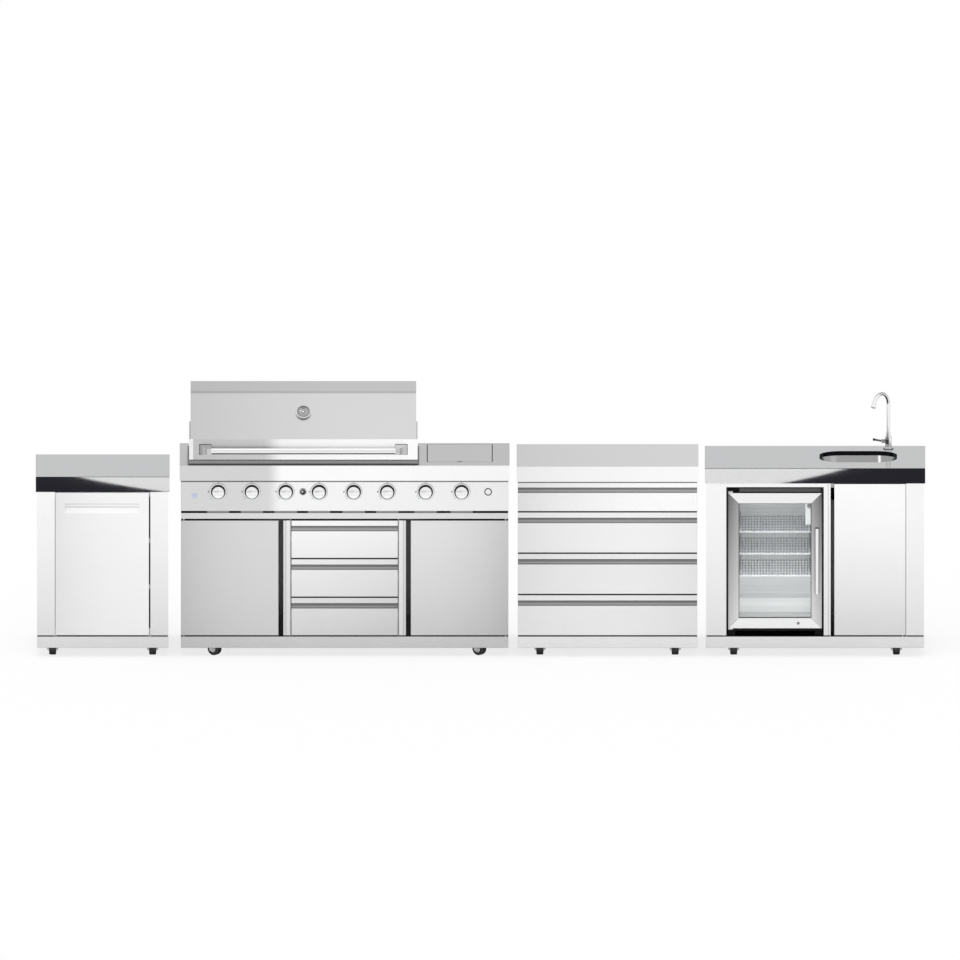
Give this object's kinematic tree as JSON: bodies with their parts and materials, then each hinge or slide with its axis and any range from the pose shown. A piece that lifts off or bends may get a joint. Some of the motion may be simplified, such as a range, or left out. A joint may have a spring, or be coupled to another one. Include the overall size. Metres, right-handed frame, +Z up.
{
  "type": "outdoor kitchen",
  "caption": "Modular outdoor kitchen row: waste bin cabinet, hooded gas grill with side burner, drawer cabinet, and fridge and sink cabinet, all on casters.",
  "frame": {"origin": "on the floor, under the middle of the row's box", "axes": "+X to the right along the row seen from the front, +Y to the back, +Z up"},
  "size_m": [4.314, 0.635, 1.278],
  "materials": {
    "steel": "brushed stainless",
    "dark_steel": "heat resistant dark coat",
    "stone": "polished black stone",
    "iron": "seasoned black",
    "chrome": "polished",
    "liner": "moulded liner",
    "wire": "white coated wire",
    "glass": "clear",
    "bucket": "moulded",
    "button": "gloss",
    "tyre": "matt",
    "zinc": "zinc plated"
  },
  "bodies": {
    "frame": {"bin_cabinet": "steel", "bin_benchtop": "stone", "grill_cabinet": "steel", "grill_worktop": "steel", "control_panel": "steel", "knob_bezels": "chrome", "firebox": "dark_steel", "cooking_irons": "iron", "gas_burners": "dark_steel", "chest_cabinet": "steel", "chest_benchtop": "steel", "sink_cabinet": "steel", "sink_benchtop": "stone", "sink_bowl": "steel", "tap_body": "chrome", "fridge_body": "liner", "fridge_shelves": "wire", "drawer_runners": "zinc", "caster_brackets": "zinc"},
    "hood": {"hood": "steel", "hood_handle": "steel", "hood_thermometer": "chrome"},
    "bin_pull_out": {"bin_front": "steel", "waste_bin": "bucket"},
    "fridge_door": {"fridge_door_frame": "steel", "fridge_door_glass": "glass"},
    "side_burner_lid": {"side_burner_lid": "steel"},
    "knob_1": {"knob_1": "steel"},
    "knob_2": {"knob_2": "steel"},
    "knob_3": {"knob_3": "steel"},
    "knob_4": {"knob_4": "steel"},
    "knob_5": {"knob_5": "steel"},
    "knob_6": {"knob_6": "steel"},
    "knob_7": {"knob_7": "steel"},
    "knob_8": {"knob_8": "steel"},
    "ignition_button": {"ignition_button": "button"},
    "light_button": {"light_button": "button"},
    "grill_left_door": {"grill_left_door": "steel"},
    "grill_right_door": {"grill_right_door": "steel"},
    "grill_drawer_top": {"grill_drawer_top": "steel"},
    "grill_drawer_middle": {"grill_drawer_middle": "steel"},
    "grill_drawer_bottom": {"grill_drawer_bottom": "steel"},
    "chest_drawer_1": {"chest_drawer_1": "steel"},
    "chest_drawer_2": {"chest_drawer_2": "steel"},
    "chest_drawer_3": {"chest_drawer_3": "steel"},
    "chest_drawer_4": {"chest_drawer_4": "steel"},
    "sink_door": {"sink_door": "steel"},
    "tap_spout": {"tap_spout": "chrome"},
    "tap_lever": {"tap_lever": "chrome"},
    "grill_left_fork": {"grill_left_fork": "zinc"},
    "grill_right_fork": {"grill_right_fork": "zinc"},
    "grill_left_wheel": {"grill_left_wheel": "tyre"},
    "grill_right_wheel": {"grill_right_wheel": "tyre"},
    "grill_rear_wheels": {"grill_rear_wheels": "tyre"},
    "bin_front_wheels": {"bin_front_wheels": "tyre"},
    "bin_rear_wheels": {"bin_rear_wheels": "tyre"},
    "chest_front_wheels": {"chest_front_wheels": "tyre"},
    "chest_rear_wheels": {"chest_rear_wheels": "tyre"},
    "sink_front_wheels": {"sink_front_wheels": "tyre"},
    "sink_rear_wheels": {"sink_rear_wheels": "tyre"}
  },
  "joints": [
    {"name": "hood_lift", "type": "hinge", "parent": "frame", "child": "hood", "pos_m": [-0.859, 0.1935, 0.995], "axis": [-1, 0, 0], "range_deg": [0, 85]},
    {"name": "side_lid_lift", "type": "hinge", "parent": "frame", "child": "side_burner_lid", "pos_m": [-0.1005, 0.2735, 0.938], "axis": [-1, 0, 0], "range_deg": [0, 95]},
    {"name": "knob_1_turn", "type": "hinge", "parent": "frame", "child": "knob_1", "pos_m": [-1.272, -0.279, 0.814], "axis": [0, -1, 0], "range_deg": [0, 160]},
    {"name": "knob_2_turn", "type": "hinge", "parent": "frame", "child": "knob_2", "pos_m": [-1.109, -0.279, 0.814], "axis": [0, -1, 0], "range_deg": [0, 160]},
    {"name": "knob_3_turn", "type": "hinge", "parent": "frame", "child": "knob_3", "pos_m": [-0.944, -0.279, 0.814], "axis": [0, -1, 0], "range_deg": [0, 160]},
    {"name": "knob_4_turn", "type": "hinge", "parent": "frame", "child": "knob_4", "pos_m": [-0.783, -0.279, 0.814], "axis": [0, -1, 0], "range_deg": [0, 160]},
    {"name": "knob_5_turn", "type": "hinge", "parent": "frame", "child": "knob_5", "pos_m": [-0.615, -0.279, 0.814], "axis": [0, -1, 0], "range_deg": [0, 160]},
    {"name": "knob_6_turn", "type": "hinge", "parent": "frame", "child": "knob_6", "pos_m": [-0.452, -0.279, 0.814], "axis": [0, -1, 0], "range_deg": [0, 160]},
    {"name": "knob_7_turn", "type": "hinge", "parent": "frame", "child": "knob_7", "pos_m": [-0.266, -0.279, 0.814], "axis": [0, -1, 0], "range_deg": [0, 160]},
    {"name": "knob_8_turn", "type": "hinge", "parent": "frame", "child": "knob_8", "pos_m": [-0.092, -0.279, 0.814], "axis": [0, -1, 0], "range_deg": [0, 160]},
    {"name": "ignition_press", "type": "slide", "parent": "frame", "child": "ignition_button", "axis": [0, 1, 0], "range_m": [0, 0.004], "stiffness_N_per_m": 300, "springref_m": -0.002},
    {"name": "light_press", "type": "slide", "parent": "frame", "child": "light_button", "axis": [0, 1, 0], "range_m": [0, 0.004], "stiffness_N_per_m": 300, "springref_m": -0.002},
    {"name": "grill_left_door_swing", "type": "hinge", "parent": "frame", "child": "grill_left_door", "pos_m": [-1.439, -0.2635, 0.4], "axis": [0, 0, -1], "range_deg": [0, 95]},
    {"name": "grill_right_door_swing", "type": "hinge", "parent": "frame", "child": "grill_right_door", "pos_m": [0.121, -0.2635, 0.4], "axis": [0, 0, 1], "range_deg": [0, 95]},
    {"name": "grill_drawer_top_slide", "type": "slide", "parent": "frame", "child": "grill_drawer_top", "axis": [0, -1, 0], "range_m": [0, 0.4]},
    {"name": "grill_drawer_middle_slide", "type": "slide", "parent": "frame", "child": "grill_drawer_middle", "axis": [0, -1, 0], "range_m": [0, 0.4]},
    {"name": "grill_drawer_bottom_slide", "type": "slide", "parent": "frame", "child": "grill_drawer_bottom", "axis": [0, -1, 0], "range_m": [0, 0.4]},
    {"name": "bin_slide", "type": "slide", "parent": "frame", "child": "bin_pull_out", "axis": [0, -1, 0], "range_m": [0, 0.4]},
    {"name": "chest_drawer_1_slide", "type": "slide", "parent": "frame", "child": "chest_drawer_1", "axis": [0, -1, 0], "range_m": [0, 0.4]},
    {"name": "chest_drawer_2_slide", "type": "slide", "parent": "frame", "child": "chest_drawer_2", "axis": [0, -1, 0], "range_m": [0, 0.4]},
    {"name": "chest_drawer_3_slide", "type": "slide", "parent": "frame", "child": "chest_drawer_3", "axis": [0, -1, 0], "range_m": [0, 0.4]},
    {"name": "chest_drawer_4_slide", "type": "slide", "parent": "frame", "child": "chest_drawer_4", "axis": [0, -1, 0], "range_m": [0, 0.4]},
    {"name": "fridge_door_swing", "type": "hinge", "parent": "frame", "child": "fridge_door", "pos_m": [1.212, -0.2585, 0.466], "axis": [0, 0, -1], "range_deg": [0, 100]},
    {"name": "sink_door_swing", "type": "hinge", "parent": "frame", "child": "sink_door", "pos_m": [2.048, -0.2635, 0.4], "axis": [0, 0, 1], "range_deg": [0, 100]},
    {"name": "spout_swivel", "type": "hinge", "parent": "frame", "child": "tap_spout", "pos_m": [1.978, 0.2395, 1], "axis": [0, 0, 1], "range_deg": [-60, 60]},
    {"name": "lever_lift", "type": "hinge", "parent": "frame", "child": "tap_lever", "pos_m": [1.9525, 0.2395, 0.97], "axis": [0, 1, 0], "range_deg": [0, 40]},
    {"name": "left_caster_swivel", "type": "hinge", "parent": "frame", "child": "grill_left_fork", "pos_m": [-1.301, -0.2085, 0.09], "axis": [0, 0, 1], "continuous": true},
    {"name": "left_caster_roll", "type": "hinge", "parent": "grill_left_fork", "child": "grill_left_wheel", "pos_m": [-1.28953, -0.21653, 0.0325], "axis": [-0.5736, -0.8192, 0], "continuous": true},
    {"name": "right_caster_swivel", "type": "hinge", "parent": "frame", "child": "grill_right_fork", "pos_m": [-0.017, -0.2085, 0.09], "axis": [0, 0, 1], "continuous": true},
    {"name": "right_caster_roll", "type": "hinge", "parent": "grill_right_fork", "child": "grill_right_wheel", "pos_m": [-0.00553, -0.21653, 0.0325], "axis": [-0.5736, -0.8192, 0], "continuous": true},
    {"name": "grill_rear_roll", "type": "hinge", "parent": "frame", "child": "grill_rear_wheels", "pos_m": [-0.659, 0.2275, 0.0325], "axis": [1, 0, 0], "continuous": true},
    {"name": "bin_front_roll", "type": "hinge", "parent": "frame", "child": "bin_front_wheels", "pos_m": [-1.8325, -0.2085, 0.0325], "axis": [1, 0, 0], "continuous": true},
    {"name": "bin_rear_roll", "type": "hinge", "parent": "frame", "child": "bin_rear_wheels", "pos_m": [-1.8325, 0.2275, 0.0325], "axis": [1, 0, 0], "continuous": true},
    {"name": "chest_front_roll", "type": "hinge", "parent": "frame", "child": "chest_front_wheels", "pos_m": [0.616, -0.2085, 0.0325], "axis": [1, 0, 0], "continuous": true},
    {"name": "chest_rear_roll", "type": "hinge", "parent": "frame", "child": "chest_rear_wheels", "pos_m": [0.616, 0.2275, 0.0325], "axis": [1, 0, 0], "continuous": true},
    {"name": "sink_front_roll", "type": "hinge", "parent": "frame", "child": "sink_front_wheels", "pos_m": [1.6225, -0.2085, 0.0325], "axis": [1, 0, 0], "continuous": true},
    {"name": "sink_rear_roll", "type": "hinge", "parent": "frame", "child": "sink_rear_wheels", "pos_m": [1.6225, 0.2275, 0.0325], "axis": [1, 0, 0], "continuous": true}
  ]
}
